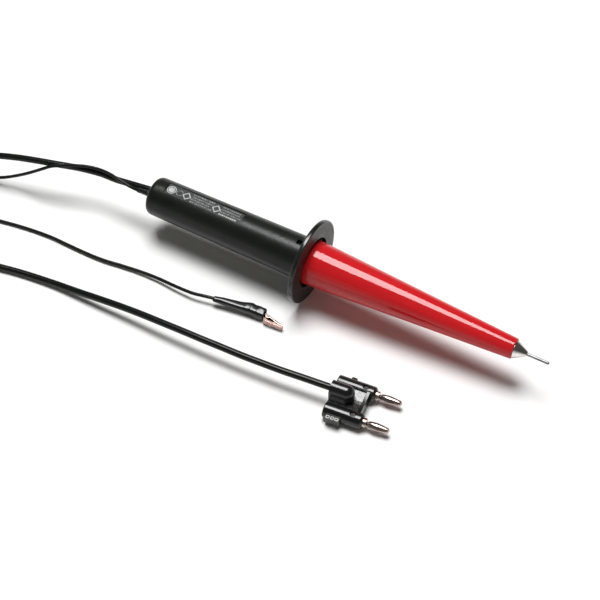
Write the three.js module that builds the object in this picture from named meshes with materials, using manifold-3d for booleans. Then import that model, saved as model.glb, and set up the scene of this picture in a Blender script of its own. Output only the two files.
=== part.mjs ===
// High-voltage divider probe for a meter: a hand-held probe with its coaxial lead and dual banana
// plug, and its ground lead and alligator clip.
// Millimetres, +Z up. The probe's axis lies along X with the tip at +X, and the rim of the finger
// guard touches the surface at Z = 0.  The origin is on that surface, below the probe's middle.
import * as THREE from "three";
import { mergeVertices } from "three/addons/utils/BufferGeometryUtils.js";
import Module from "manifold-3d";

const wasm = await Module();
wasm.setup();

// ---------------------------------------------------------------- driving dimensions

const GAP = 0.3; // between pieces that touch
const AXIS_Z = 25; // height of the probe's axis, the guard's radius

const REAR_X = -124.5;
const GUARD_X = -19; // front face of the finger guard
const NOSE_END_X = 104.5;
const CONE_END_X = 111.6;
const TIP_X = 124.5;

const GUARD_THICK = 3;
const GUARD_RECESS_R = 15.6; // shallow recess in the guard that the nose stands in
const GUARD_WEB_X = GUARD_X - 1.6; // floor of that recess
const HUB_R = 10.2;
const HUB_BORE_R = 8.95;
const HUB_REAR_X = -36;

const HANDLE_FRONT_X = GUARD_X - GUARD_THICK - GAP;
const HANDLE_REAR_R = 11.45;
const HANDLE_FRONT_R = 12.5;
const HANDLE_BORE_REAR_R = 9.3;
const HANDLE_BORE_FRONT_R = 10.6;
const REAR_WALL = 2.2;
const REAR_ROUND = 3;

const LABEL_X0 = -115.3;
const LABEL_X1 = -64.8;
const LABEL_W = 8.8;
const LABEL_Z = 10.45; // floor of the label recess, above the axis
const LATCH_X = -27.9;
const LATCH_L = 3.4;
const LATCH_W = 3.2;

const NOSE_BASE_R = 13.1;
const NOSE_END_R = 5.9;
const NOSE_WALL = 1.8;
const NOSE_BASE_X = GUARD_WEB_X + 0.4;
const SPIGOT_R = 8.6;
const SPIGOT_BORE_R = 7;
const SPIGOT_REAR_X = -40;
const TIP_BORE_R = 3.9;
const TIP_BORE_X = 96;

const RESISTOR_R = 3.2;
const RESISTOR_X0 = -28;
const RESISTOR_X1 = 84;
const CAP_L = 3.6;

const BOARD_X0 = -103;
const BOARD_X1 = -52;
const TONGUE_L = 3.5;
const TONGUE_W = 6;
const BOARD_W = 14;
const BOARD_Z = AXIS_Z - 4.4;
const BOARD_T = 1.6;
const BOARD_TOP = BOARD_Z + BOARD_T;
const SHIELD_R = 8.6;
const TRIMMER_X = -66;
const GROUND_SCREW = [-99, 4];

const COAX_R = 2;
const COAX_EXIT = [1.6, 26.2]; // Y and Z where the coax leaves the handle
const LEAD_R = 1;
const SLEEVE_R = 1.8;
const SLEEVE_EXIT = [-3.1, 27.9]; // Y and Z where the ground lead's sleeve leaves the handle
const SLEEVE_END_X = -133.5;
const HOLE_CLEAR = 0.35;

// Round coils of the two leads: centre, middle radius, and the ring's outline.
const COAX_COIL = { x: -292, y: -62, inner: 15.8, outer: 28.2, height: 8.8, tieSide: -1 };
const LEAD_COIL = { x: -243, y: -34, inner: 6.9, outer: 15.1, height: 4.9, tieSide: 1 };
const TIE_T = 0.7;
const TIE_W = 5;

// Dual banana plug: its own frame has the pins along +X and the horns' front faces at X = 0.
const PLUG_AT = [48.55, -59.65];
const PLUG_TURN = THREE.MathUtils.degToRad(6.2);
const PIN_PITCH = 19.05;
const HORN_R = 4.43;
const HORN_BORE_R = 2.8;
const HORN_L = 22.3;
const PLUG_Z = HORN_R + 0.1; // height of the pins' axes
const WEB_BOTTOM = 0.9;
const WEB_TOP = 6.4; // at its lowest, halfway between the horns
const RIB_TOP = 8.4;
const VALLEY_HALF = 7;
const VALLEY_RISE = 1.7;
const RIB_X = [-4.4, -2.6];
const TAB_X = [-19.8, -11.3];
const TAB_OUT = 1.9; // the grip tab stands out past its horn by this
const PIP_X = [-15.8, -12.5];
const PIP_OUT = 0.7;
const BOSS_R = 4.5;
const BOSS_Z = 11.9; // height of the coax where it enters the plug
const BOSS_X1 = -9;
const BOSS_FOOT_Z = 2;
const CABLE_BORE_X = -16;
const SET_SCREW_X = -6;
const SCREW_HOLE_R = 1.85;
const SCREW_R = 1.5;

// Alligator clip: its own frame has the jaws' tip at +X and the boot's rear at X = 0.
// It rests on the boot's mouth, and the lead holds its rear up.
const CLIP_AT = [-63.6, -35.6, 2];
const CLIP_TURN = THREE.MathUtils.degToRad(6);
const CLIP_TILT = THREE.MathUtils.degToRad(3.8);
const CLIP_Z = 3.1;
const BOOT_L = 30.5;
const BOOT_FLAT = 0.86; // height of the boot's section over its width
const BOOT_Y = -0.4; // the boot's axis starts at this Y and leans by BOOT_LEAN
const BOOT_LEAN = 0.07;
const BARREL_Y = 0.6;
const PIVOT = [27.5, 1.4];
const CLIP_L = 43.7;
const JAW_HALF = 1.5; // half the width of the jaws, across the hinge axis
const JAW_WALL = 0.45;
const PIN_R = 0.55;
const TOOTH = 0.45;
const LEVER_WALL = 0.25;

// ---------------------------------------------------------------- solids

// A BufferGeometry as a solid, turned inside out first if its faces point inwards.
function solid(geometry) {
  const bare = new THREE.BufferGeometry();
  bare.setAttribute("position", geometry.getAttribute("position").clone());
  if (geometry.index) bare.setIndex(geometry.index.clone());
  const merged = mergeVertices(bare, 1e-4);
  const p = merged.getAttribute("position").array;
  const t = [];
  const index = merged.index.array;
  for (let i = 0; i < index.length; i += 3) {
    const [a, b, c] = [index[i], index[i + 1], index[i + 2]];
    if (a !== b && b !== c && c !== a) t.push(a, b, c);
  }
  let volume = 0;
  for (let i = 0; i < t.length; i += 3) {
    const [a, b, c] = [t[i] * 3, t[i + 1] * 3, t[i + 2] * 3];
    volume += p[a] * (p[b + 1] * p[c + 2] - p[b + 2] * p[c + 1]);
    volume += p[a + 1] * (p[b + 2] * p[c] - p[b] * p[c + 2]);
    volume += p[a + 2] * (p[b] * p[c + 1] - p[b + 1] * p[c]);
  }
  if (volume < 0) {
    for (let i = 0; i < t.length; i += 3) [t[i + 1], t[i + 2]] = [t[i + 2], t[i + 1]];
  }
  const mesh = new wasm.Mesh({
    numProp: 3,
    vertProperties: new Float32Array(p),
    triVerts: new Uint32Array(t),
  });
  return new wasm.Manifold(mesh);
}

function cut(body, ...tools) {
  return tools.reduce((left, tool) => left.subtract(tool), body);
}

function join(body, ...others) {
  return others.reduce((all, other) => all.add(other), body);
}

// A solid of revolution about the line through (y, z) along X. Points are [x, radius].
function turned(points, segments = 48, y = 0, z = AXIS_Z) {
  const profile = points.map(([x, r]) => new THREE.Vector2(r, x));
  const g = new THREE.LatheGeometry(profile, segments);
  g.rotateZ(-Math.PI / 2);
  g.rotateX(Math.PI / 2);
  g.translate(0, y, z);
  return solid(g);
}

// A closed ring: the profile is joined back to its first point.
function ring(points, segments = 48, y = 0, z = AXIS_Z) {
  return turned([...points, points[0]], segments, y, z);
}

function rodX(x0, x1, r, y = 0, z = AXIS_Z, segments = 32) {
  return turned([[x0, 0], [x0, r], [x1, r], [x1, 0]], segments, y, z);
}

function rodZ(z0, z1, r, x, y, segments = 24) {
  const g = new THREE.CylinderGeometry(r, r, z1 - z0, segments);
  g.rotateX(Math.PI / 2);
  g.translate(x, y, (z0 + z1) / 2);
  return solid(g);
}

function rodY(y0, y1, r, x, z, segments = 24) {
  const g = new THREE.CylinderGeometry(r, r, y1 - y0, segments);
  g.translate(x, (y0 + y1) / 2, z);
  return solid(g);
}

function block(x0, x1, y0, y1, z0, z1) {
  const g = new THREE.BoxGeometry(x1 - x0, y1 - y0, z1 - z0);
  g.translate((x0 + x1) / 2, (y0 + y1) / 2, (z0 + z1) / 2);
  return solid(g);
}

// A flat outline in X and Y, raised from z0 to z1.
function plate(outline, z0, z1) {
  const shape = new THREE.Shape(outline.map(([x, y]) => new THREE.Vector2(x, y)));
  const g = new THREE.ExtrudeGeometry(shape, { depth: z1 - z0, bevelEnabled: false, curveSegments: 12 });
  g.translate(0, 0, z0);
  return solid(g);
}

// A flat outline in Y and Z, drawn out from x0 to x1.
function alongX(outline, x0, x1) {
  const shape = new THREE.Shape(outline.map(([y, z]) => new THREE.Vector2(y, z)));
  const g = new THREE.ExtrudeGeometry(shape, { depth: x1 - x0, bevelEnabled: false });
  g.rotateX(Math.PI / 2);
  g.rotateZ(Math.PI / 2);
  g.translate(x0, 0, 0);
  return solid(g);
}

// A round section swept along a smooth line through the points.
function swept(points, radius, sides, steps) {
  const path = new THREE.CatmullRomCurve3(points.map((p) => new THREE.Vector3(...p)), false, "centripetal");
  const section = new THREE.Shape();
  for (let i = 0; i < sides; i += 1) {
    const a = (2 * Math.PI * i) / sides;
    const [u, v] = [radius * Math.cos(a), radius * Math.sin(a)];
    if (i === 0) section.moveTo(u, v);
    else section.lineTo(u, v);
  }
  section.closePath();
  return solid(new THREE.ExtrudeGeometry(section, { steps, extrudePath: path, bevelEnabled: false }));
}

// Points of a helix; place turns its height and its two coordinates across into a point.
function springPoints(turns, radius, length, place) {
  const points = [];
  const steps = Math.round(turns * 10);
  for (let i = 0; i <= steps; i += 1) {
    const a = (2 * Math.PI * turns * i) / steps;
    points.push(place(length * (i / steps), radius * Math.cos(a), radius * Math.sin(a)));
  }
  return points;
}

function axialSpring(x0, x1, radius, wire, turns) {
  const place = (s, u, v) => [x0 + wire + s, u, AXIS_Z + v];
  const points = springPoints(turns, radius, x1 - x0 - 2 * wire, place);
  return swept(points, wire, 5, points.length - 1);
}

// A mesh of a solid, with its own plain material.
function part(name, body, color, roughness, metalness) {
  const { numProp, vertProperties, triVerts } = body.getMesh();
  const corners = new Float32Array((vertProperties.length / numProp) * 3);
  for (let i = 0; i < corners.length / 3; i += 1) {
    for (let k = 0; k < 3; k += 1) corners[3 * i + k] = vertProperties[numProp * i + k];
  }
  const g = new THREE.BufferGeometry();
  g.setAttribute("position", new THREE.BufferAttribute(corners, 3));
  g.setIndex([...triVerts]);
  g.computeVertexNormals();
  const mesh = new THREE.Mesh(g, new THREE.MeshStandardMaterial({ color, roughness, metalness }));
  mesh.name = name;
  return mesh;
}

const BLACK_PLASTIC = [0x232624, 0.55, 0];
const BLACK_RUBBER = [0x1a1c1b, 0.6, 0];
const RED_PLASTIC = [0xc81e26, 0.2, 0];
const STEEL = [0xb9b6b2, 0.25, 1];
const NICKEL = [0xcfc6c0, 0.2, 1];
const BRASS = [0xb08d4a, 0.35, 1];
const CERAMIC = [0x2f5f8f, 0.45, 0];
const BOARD = [0x2c5a35, 0.6, 0];
const WHITE_PLASTIC = [0xd8d8d2, 0.5, 0];

// ---------------------------------------------------------------- handle and guard

function handleShell() {
  const outline = [[REAR_X, 0]];
  for (let i = 0; i <= 5; i += 1) {
    const a = (Math.PI / 2) * (i / 5);
    const x = REAR_X + REAR_ROUND * (1 - Math.cos(a));
    outline.push([x, HANDLE_REAR_R - REAR_ROUND * (1 - Math.sin(a))]);
  }
  outline.push([HANDLE_FRONT_X, HANDLE_FRONT_R], [HANDLE_FRONT_X, 0]);
  const bore = [
    [REAR_X + REAR_WALL, 0],
    [REAR_X + REAR_WALL, HANDLE_BORE_REAR_R],
    [HANDLE_FRONT_X, HANDLE_BORE_FRONT_R],
    [HANDLE_FRONT_X + 1, HANDLE_BORE_FRONT_R],
    [HANDLE_FRONT_X + 1, 0],
  ];
  const half = LABEL_W / 2;
  return cut(
    turned(outline, 48),
    turned(bore, 32),
    block(LABEL_X0, LABEL_X1, -half, half, AXIS_Z + LABEL_Z, AXIS_Z + 20),
    block(LATCH_X - LATCH_L / 2, LATCH_X + LATCH_L / 2, -LATCH_W / 2, LATCH_W / 2, AXIS_Z + 8, AXIS_Z + 20),
    rodX(REAR_X - 1, REAR_X + REAR_WALL + 1, COAX_R + HOLE_CLEAR, ...COAX_EXIT, 24),
    rodX(REAR_X - 1, REAR_X + REAR_WALL + 1, SLEEVE_R + HOLE_CLEAR, ...SLEEVE_EXIT, 24),
  );
}

function labelPlate() {
  const half = LABEL_W / 2 - 0.4;
  const floor = AXIS_Z + LABEL_Z + 0.05;
  return block(LABEL_X0 + 0.4, LABEL_X1 - 0.4, -half, half, floor, floor + 0.3);
}

function fingerGuard() {
  const back = GUARD_X - GUARD_THICK;
  const edge = 0.8;
  const disc = ring([
    [HUB_REAR_X, HUB_BORE_R],
    [GUARD_WEB_X, HUB_BORE_R],
    [GUARD_WEB_X, GUARD_RECESS_R],
    [GUARD_X, GUARD_RECESS_R],
    [GUARD_X, AXIS_Z - edge],
    [GUARD_X - edge, AXIS_Z],
    [back + edge, AXIS_Z],
    [back, AXIS_Z - edge],
    [back, HUB_R],
    [HUB_REAR_X, HUB_R],
  ], 52);
  const l = LATCH_L / 2 - 0.5;
  const w = LATCH_W / 2 - 0.5;
  const latch = block(LATCH_X - l, LATCH_X + l, -w, w, AXIS_Z + HUB_BORE_R + 0.4, AXIS_Z + 11.3);
  return join(disc, latch);
}

function noseLockRing() {
  const x1 = HUB_REAR_X - GAP;
  return ring([[x1 - 3.4, SPIGOT_R + GAP], [x1, SPIGOT_R + GAP], [x1, HUB_R], [x1 - 3.4, HUB_R]], 32);
}

// ---------------------------------------------------------------- nose, tip and high-voltage side

function noseRadius(x) {
  return NOSE_BASE_R + ((NOSE_END_R - NOSE_BASE_R) * (x - GUARD_X)) / (NOSE_END_X - GUARD_X);
}

function noseBarrel() {
  const outline = [
    [SPIGOT_REAR_X, SPIGOT_BORE_R],
    [SPIGOT_REAR_X, SPIGOT_R],
    [NOSE_BASE_X, SPIGOT_R],
    [NOSE_BASE_X, noseRadius(NOSE_BASE_X)],
    [NOSE_END_X - 0.8, noseRadius(NOSE_END_X)],
    [NOSE_END_X - 0.2, NOSE_END_R - 0.25],
    [NOSE_END_X, NOSE_END_R - 0.8],
    [NOSE_END_X, TIP_BORE_R],
    [TIP_BORE_X, TIP_BORE_R],
    [TIP_BORE_X, noseRadius(TIP_BORE_X) - NOSE_WALL],
    [NOSE_BASE_X + 3, noseRadius(NOSE_BASE_X) - NOSE_WALL - 0.8],
    [NOSE_BASE_X + 1, SPIGOT_BORE_R],
  ];
  return ring(outline, 40);
}

function tipCone() {
  return turned([
    [TIP_BORE_X + 0.5, 0],
    [TIP_BORE_X + 0.5, TIP_BORE_R - GAP],
    [NOSE_END_X + GAP, TIP_BORE_R - GAP],
    [NOSE_END_X + GAP, 5.3],
    [NOSE_END_X + GAP + 0.6, 5.3],
    [CONE_END_X, 1.5],
    [CONE_END_X, 1.15],
    [TIP_BORE_X + 4, 1.15],
    [TIP_BORE_X + 4, 0],
  ], 28);
}

function tipRod() {
  const r = 0.85;
  return turned([
    [TIP_BORE_X + 4 + GAP, 0],
    [TIP_BORE_X + 4 + GAP, r],
    [TIP_X - r, r],
    [TIP_X - 0.3 * r, 0.72 * r],
    [TIP_X, 0],
  ], 24);
}

function resistorCap(x0, x1) {
  return rodX(x0, x1, RESISTOR_R + 0.2, 0, AXIS_Z, 32);
}

function noseSpacer(x0, x1) {
  const outer = noseRadius(x1) - NOSE_WALL - 0.4 - 0.8 * Math.max(0, (20 - x1) / 40);
  return ring([[x0, RESISTOR_R + GAP], [x1, RESISTOR_R + GAP], [x1, outer], [x0, outer]], 32);
}

// ---------------------------------------------------------------- divider board in the handle

function contactStud() {
  return turned([
    [BOARD_X1 - 1, 0],
    [BOARD_X1 - 1, 1.3],
    [-44.6, 1.3],
    [-44.6, 3.4],
    [-42.6, 3.4],
    [-42.6, 0],
  ], 24);
}

// A disc that holds one end of the board: the board's tongue sits in its slot.
function boardHolder(x0, x1, radius, boreR) {
  const half = TONGUE_W / 2 + GAP;
  return cut(
    rodX(x0, x1, radius, 0, AXIS_Z, 32),
    rodX(x0 - 1, x1 + 1, boreR, 0, AXIS_Z, 20),
    block(x0 - 1, x1 + 1, -half, half, BOARD_Z - GAP, BOARD_TOP + GAP),
  );
}

function dividerBoard() {
  const half = BOARD_W / 2;
  const tongue = TONGUE_W / 2;
  const [sx, sy] = GROUND_SCREW;
  return cut(
    join(
      block(BOARD_X0, BOARD_X1, -half, half, BOARD_Z, BOARD_TOP),
      block(BOARD_X0 - TONGUE_L, BOARD_X1 + TONGUE_L, -tongue, tongue, BOARD_Z, BOARD_TOP),
    ),
    rodZ(BOARD_Z - 1, BOARD_TOP + 1, 1.1, sx, sy),
  );
}

function groundTerminal() {
  const [x, y] = GROUND_SCREW;
  const z = BOARD_TOP + GAP;
  return cut(join(rodZ(z, z + 0.5, 2.4, x, y), block(x, x + 6, y - 0.9, y + 0.9, z, z + 0.5)),
    rodZ(z - 1, z + 1, 1.1, x, y));
}

function groundScrew() {
  const [x, y] = GROUND_SCREW;
  const z = BOARD_TOP + GAP + 0.5 + GAP;
  const slot = block(x - 2, x + 2, y - 0.2, y + 0.2, z + 0.7, z + 2);
  return cut(join(rodZ(BOARD_Z - 0.4, z + 0.5, 0.8, x, y), rodZ(z, z + 1.2, 1.7, x, y)), slot);
}

function trimmerBody() {
  const z = BOARD_TOP + 0.1;
  const body = block(TRIMMER_X - 3.3, TRIMMER_X + 3.3, -3.3, 3.3, z, z + 2.6);
  return cut(body, rodZ(z + 1, z + 4, 2.7, TRIMMER_X, 0, 28));
}

function trimmerRotor() {
  const z = BOARD_TOP + 1.4;
  const slot = block(TRIMMER_X - 3, TRIMMER_X + 3, -0.35, 0.35, z + 1.4, z + 3);
  return cut(rodZ(z, z + 2.2, 2.35, TRIMMER_X, 0, 28), slot);
}

function shieldTube() {
  const [x0, x1] = [-108, -46];
  return ring([[x0, SHIELD_R], [x1, SHIELD_R], [x1, SHIELD_R + 0.35], [x0, SHIELD_R + 0.35]], 40);
}

function cableAnchor() {
  const body = rodX(-119, -112, 8.9, 0, AXIS_Z, 32);
  return cut(
    body,
    rodX(-120, -111, COAX_R + HOLE_CLEAR, ...COAX_EXIT, 20),
    rodX(-120, -111, SLEEVE_R + HOLE_CLEAR, ...SLEEVE_EXIT, 20),
  );
}

// ---------------------------------------------------------------- leads

const COAX_OUT = [
  [-116, COAX_EXIT[0], COAX_EXIT[1]],
  [-124, COAX_EXIT[0], COAX_EXIT[1]],
  [-132, 0.9, 25.9],
  [-141, 0.1, 25.3],
  [-150, -0.8, 24.9],
  [-161, -1.2, 24.8],
  [-174, -3.6, 24.8],
  [-187, -7.2, 24.7],
  [-200, -10.4, 24.2],
  [-213, -13.6, 23.2],
  [-226, -17, 21.2],
  [-239, -21, 18],
  [-251, -25.6, 14],
  [-262, -30.4, 10],
  [-270, -34, 7.5],
  [-276.8, -36, 6.4],
];

const COAX_RETURN = [
  [-276.8, -88, 2.15],
  [-266, -87.4, 2.1],
  [-254, -86, 2.1],
  [-240, -84.2, 2.1],
  [-225, -82, 2.1],
  [-209, -79.2, 2.1],
  [-191, -75.8, 2.1],
  [-172, -72.2, 2.2],
  [-151, -69.8, 2.8],
  [-132, -69.2, 4.8],
  [-118, -68.8, 6.6],
  [-105, -68.4, 8],
  [-92, -68.2, 9.2],
  [-78, -68.2, 10.2],
  [-65, -68, 10.8],
  [-52, -67.8, 11.2],
  [-40, -67.4, 11.4],
  [-27, -66.9, 11.5],
  [-15, -66.1, 11.6],
  [-3, -65.2, 11.7],
  [8, -64, 11.8],
  [18, -62.97, BOSS_Z],
  [26, -62.1, BOSS_Z],
  [31, -61.56, BOSS_Z],
];

const LEAD_OUT = [
  [SLEEVE_END_X - GAP, -3.34, 27.16],
  [-138, -3, 26.85],
  [-143, -2.77, 27.3],
  [-149, -2.08, 27.92],
  [-155, -1.29, 28.14],
  [-162, -1.4, 28.14],
  [-169, -2.84, 28.09],
  [-176, -5.46, 27.81],
  [-183, -8.64, 27],
  [-189, -11.26, 25.78],
  [-194.5, -13.3, 22.6],
  [-200, -14.6, 18.8],
  [-208, -16.3, 13.6],
  [-216, -17.8, 9],
  [-223, -19, 5.6],
  [-229, -19.8, 3.8],
  [-234.8, -20.1, 3.2],
];

const LEAD_RETURN = [
  [-234.8, -47.9, 1.1],
  [-226, -47.6, 1.1],
  [-216, -46.5, 1.1],
  [-206, -44.9, 1.1],
  [-196, -43.1, 1.1],
  [-184, -41.5, 1.1],
  [-172, -40.7, 1.2],
  [-160, -40.9, 1.3],
  [-148, -41.1, 1.4],
  [-136, -40.7, 1.6],
  [-124, -39.1, 1.8],
  [-112, -37.8, 2.1],
  [-100, -37.5, 2.8],
  [-88, -38.2, 3.7],
  [-76, -38.3, 4.6],
  [-69.5, -37.2, 5],
  [-63.35, -35.98, 5.09],
  [-58.43, -35.11, 4.76],
];

// The outer shape of a round coil, with a groove round its section where the tie goes.
function coilSolid(coil) {
  const { x, y, inner, outer, height } = coil;
  const profile = [[inner, 0.05], [outer, 0.05], [outer, height], [inner, height], [inner, 0.05]];
  const g = new THREE.LatheGeometry(profile.map(([r, z]) => new THREE.Vector2(r, z)), 28);
  g.rotateX(Math.PI / 2);
  g.translate(x, y, 0);
  return cut(solid(g), tieBand(coil, TIE_W + 2 * GAP, GAP));
}

// A band round the coil's section, on the coil's +Y or -Y side; grown is extra size all round it.
function tieBand(coil, width, grown) {
  const { x, y, inner, outer, height, tieSide } = coil;
  const ends = [inner - GAP, outer + GAP].map((r) => y + tieSide * r);
  const [y0, y1] = [Math.min(...ends), Math.max(...ends)];
  const [z0, z1] = [0.1, height - GAP];
  const [out, thin] = [TIE_T + grown, -grown];
  const outside = block(x - width / 2, x + width / 2, y0 - out, y1 + out, z0 - grown, z1 + grown);
  const core = block(x - width, x + width, y0 - thin, y1 + thin, z0 + TIE_T - thin, z1 - TIE_T + thin);
  return cut(outside, core);
}

// ---------------------------------------------------------------- dual banana plug

// The wall between the two horns: its top is a shallow valley that rises into both of them.
function plugWeb() {
  const outline = [[-PIN_PITCH / 2, WEB_BOTTOM], [-PIN_PITCH / 2, WEB_TOP]];
  for (let i = -5; i <= 5; i += 1) {
    const t = i / 5;
    outline.push([t * VALLEY_HALF, WEB_TOP + VALLEY_RISE * t * t]);
  }
  outline.push([PIN_PITCH / 2, WEB_TOP], [PIN_PITCH / 2, WEB_BOTTOM]);
  return alongX(outline, -HORN_L + 0.3, -3.2);
}

function plugBody() {
  const half = PIN_PITCH / 2;
  const horn = (y) => turned([
    [-HORN_L, 0],
    [-HORN_L, HORN_R - 0.6],
    [-HORN_L + 0.6, HORN_R],
    [-1.4, HORN_R],
    [0, HORN_R - 1.1],
    [0, 0],
  ], 24, y, PLUG_Z);
  const rib = block(...RIB_X, -half, half, WEB_BOTTOM, RIB_TOP);
  const roundX = BOSS_X1 - BOSS_R;
  const dome = new THREE.SphereGeometry(BOSS_R, 20, 10);
  dome.rotateX(Math.PI / 2);
  dome.translate(roundX, 0, BOSS_Z);
  const boss = join(
    rodX(-HORN_L, roundX, BOSS_R, 0, BOSS_Z, 20),
    solid(dome),
    block(-HORN_L, roundX, -BOSS_R, BOSS_R, BOSS_FOOT_Z, BOSS_Z),
    rodZ(BOSS_FOOT_Z, BOSS_Z, BOSS_R, roundX, 0, 20),
  );
  const gripTab = block(...TAB_X, -half - HORN_R - TAB_OUT, -half, 1.6, 7.2);
  const pip = block(...PIP_X, half, half + HORN_R + PIP_OUT, 2.5, 6.9);
  const bore = (y) => rodX(-HORN_L - 1, 1, HORN_BORE_R, y, PLUG_Z, 24);
  const screwHole = (y) => rodZ(PLUG_Z, PLUG_Z + HORN_R + 1, SCREW_HOLE_R, SET_SCREW_X, y, 24);
  return cut(
    join(horn(half), horn(-half), plugWeb(), rib, boss, gripTab, pip),
    bore(half), bore(-half), screwHole(half), screwHole(-half),
    rodX(-HORN_L - 1, CABLE_BORE_X, COAX_R + GAP, 0, BOSS_Z, 20),
  );
}

function bananaPin(y) {
  return turned([
    [-15, 2.1],
    [-15, 2.5],
    [0.1, 2.5],
    [0.1, 2.7],
    [2, 2.7],
    [2, 1.15],
    [13.4, 1.15],
    [13.4, 1.75],
    [14.4, 1.5],
    [15, 0],
    [-8, 0],
    [-8, 2.1],
    [-15, 2.1],
  ], 20, y, PLUG_Z);
}

function bananaSpring(y) {
  return ring([
    [2.3, 1.45],
    [2.3, 1.75],
    [4.5, 2.0],
    [7.5, 2.2],
    [10.5, 2.0],
    [13.1, 1.75],
    [13.1, 1.45],
    [10.5, 1.7],
    [7.5, 1.85],
    [4.5, 1.7],
  ], 16, y, PLUG_Z);
}

function setScrew(y) {
  const [z0, z1] = [PLUG_Z + 2.8, PLUG_Z + HORN_R - 0.5];
  const slot = block(SET_SCREW_X - 0.25, SET_SCREW_X + 0.25, y - 2, y + 2, z1 - 0.6, z1 + 1);
  return cut(rodZ(z0, z1, SCREW_R, SET_SCREW_X, y, 24), slot);
}

// ---------------------------------------------------------------- alligator clip

// The line where the jaws meet, from the eye to the tip; teeth of both jaws follow it.
function teeth(side) {
  const points = [];
  const [x0, x1, y0, y1, count] = [37.8, 43, -1.45, -2.65, 6];
  for (let i = 0; i <= 2 * count; i += 1) {
    const t = i / (2 * count);
    const out = i % 2 === 0 ? 0 : TOOTH;
    points.push([x0 + (x1 - x0) * t, y0 + (y1 - y0) * t + side * GAP * 0.6 + out]);
  }
  return points;
}

// A jaw pressed from sheet: its outline, hollow on the side that faces the other jaw.
function pressed(outline, hollow, half, wall) {
  return cut(
    plate(outline, CLIP_Z - half, CLIP_Z + half),
    plate(hollow, CLIP_Z - half + wall, CLIP_Z + half - wall),
  );
}

function pivotHole() {
  return rodZ(CLIP_Z - 3, CLIP_Z + 3, PIN_R + GAP, ...PIVOT, 20);
}

function fixedJaw() {
  const outline = [
    [16.8, 0.1], [21, -0.65], [30, -0.5], [30.85, -0.6], [31.3, -2.4], [32.4, -3.2], [42.6, -3.5],
    [CLIP_L, -3.2],
    ...teeth(-1).reverse(),
    [36.4, -1.95], [34.6, -1.85], [33.2, -1.25], [32.4, -1.05], [31.4, -1],
    [30.6, 0.3], [29.5, 2], [28.4, 2.9], [26.6, 2.9], [25.4, 2], [23, 0.9], [16.8, 0.7],
  ];
  const hollow = [
    [18.5, 0.3], [21, -0.2], [30, -0.05], [30.8, -0.15], [31.5, -1.9], [32.6, -2.7], [41.9, -3],
    [41.9, 3], [18.5, 3],
  ];
  const barrel = cut(
    rodX(5.6, 17.2, 1.1, BARREL_Y, CLIP_Z, 16),
    block(8, 15, BARREL_Y - 0.1, BARREL_Y + 3, CLIP_Z - 3, CLIP_Z + 3),
  );
  return cut(join(pressed(outline, hollow, JAW_HALF, JAW_WALL), barrel), pivotHole());
}

function movingJaw() {
  const lever = [
    [20.5, 2.75], [24, 2.3], [25.4, 0.9], [26.7, 0.3], [28.3, 0.3], [29.4, 0.7], [30.4, 1.5], [31.6, 1.6],
    [31.4, 2.2], [29, 3.25], [20.5, 3.2],
  ];
  const leverHollow = [
    [18, 2.2], [23.5, 2.2], [25, 0.4], [26, -1], [29.5, -1], [30.6, 2], [29, 2.8], [18, 2.8],
  ];
  const front = [
    ...teeth(1), [CLIP_L, -2.4], [CLIP_L - 0.5, -1.75], [39.7, -0.5], [35.7, 0.85], [32.5, 1.85],
    [31, 2.3], [31, 1.2], [31.7, -0.55], [32.6, -0.7], [33.2, -0.5], [34.4, 0], [35.8, -0.2],
    [37.1, -0.85],
  ];
  const frontHollow = [
    [31.5, -3], [42.2, -3], [42.2, -1.95], [39.5, -1], [35.6, 0.35], [32.3, 1.4], [31.5, 1.5],
  ];
  const nest = JAW_HALF - JAW_WALL - GAP;
  return cut(
    join(pressed(lever, leverHollow, nest, LEVER_WALL), pressed(front, frontHollow, JAW_HALF, JAW_WALL)),
    pivotHole(),
  );
}

function pivotPin() {
  return rodZ(CLIP_Z - JAW_HALF - 0.2, CLIP_Z + JAW_HALF + 0.2, PIN_R, ...PIVOT, 20);
}

function clipSpring() {
  const wire = 0.12;
  const radius = 0.95;
  const long = 0.36;
  const place = (s, u, v) => [PIVOT[0] + u, PIVOT[1] + v, CLIP_Z - long / 2 + s];
  const points = springPoints(1.6, radius, long, place);
  return swept(points, wire, 5, points.length - 1);
}

function clipBoot() {
  const outline = [
    [0, 1.8], [1, 1.9], [5, 2.2], [10, 2.4], [15, 2.65], [18, 3], [21, 3.45], [BOOT_L - 1, 3.5],
    [BOOT_L, 3.3], [BOOT_L, 3], [21, 3], [17, 2.5], [9, 1.95], [5, 1.75], [4, 1.3], [0, 1.3],
  ];
  const profile = [...outline, outline[0]].map(([x, r]) => new THREE.Vector2(r, x));
  const g = new THREE.LatheGeometry(profile, 24);
  g.rotateZ(-Math.PI / 2);
  g.scale(1, 1, BOOT_FLAT);
  g.applyMatrix4(new THREE.Matrix4().set(1, 0, 0, 0, BOOT_LEAN, 1, 0, BOOT_Y, 0, 0, 1, CLIP_Z, 0, 0, 0, 1));
  return solid(g);
}

// ---------------------------------------------------------------- assembly

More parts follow.
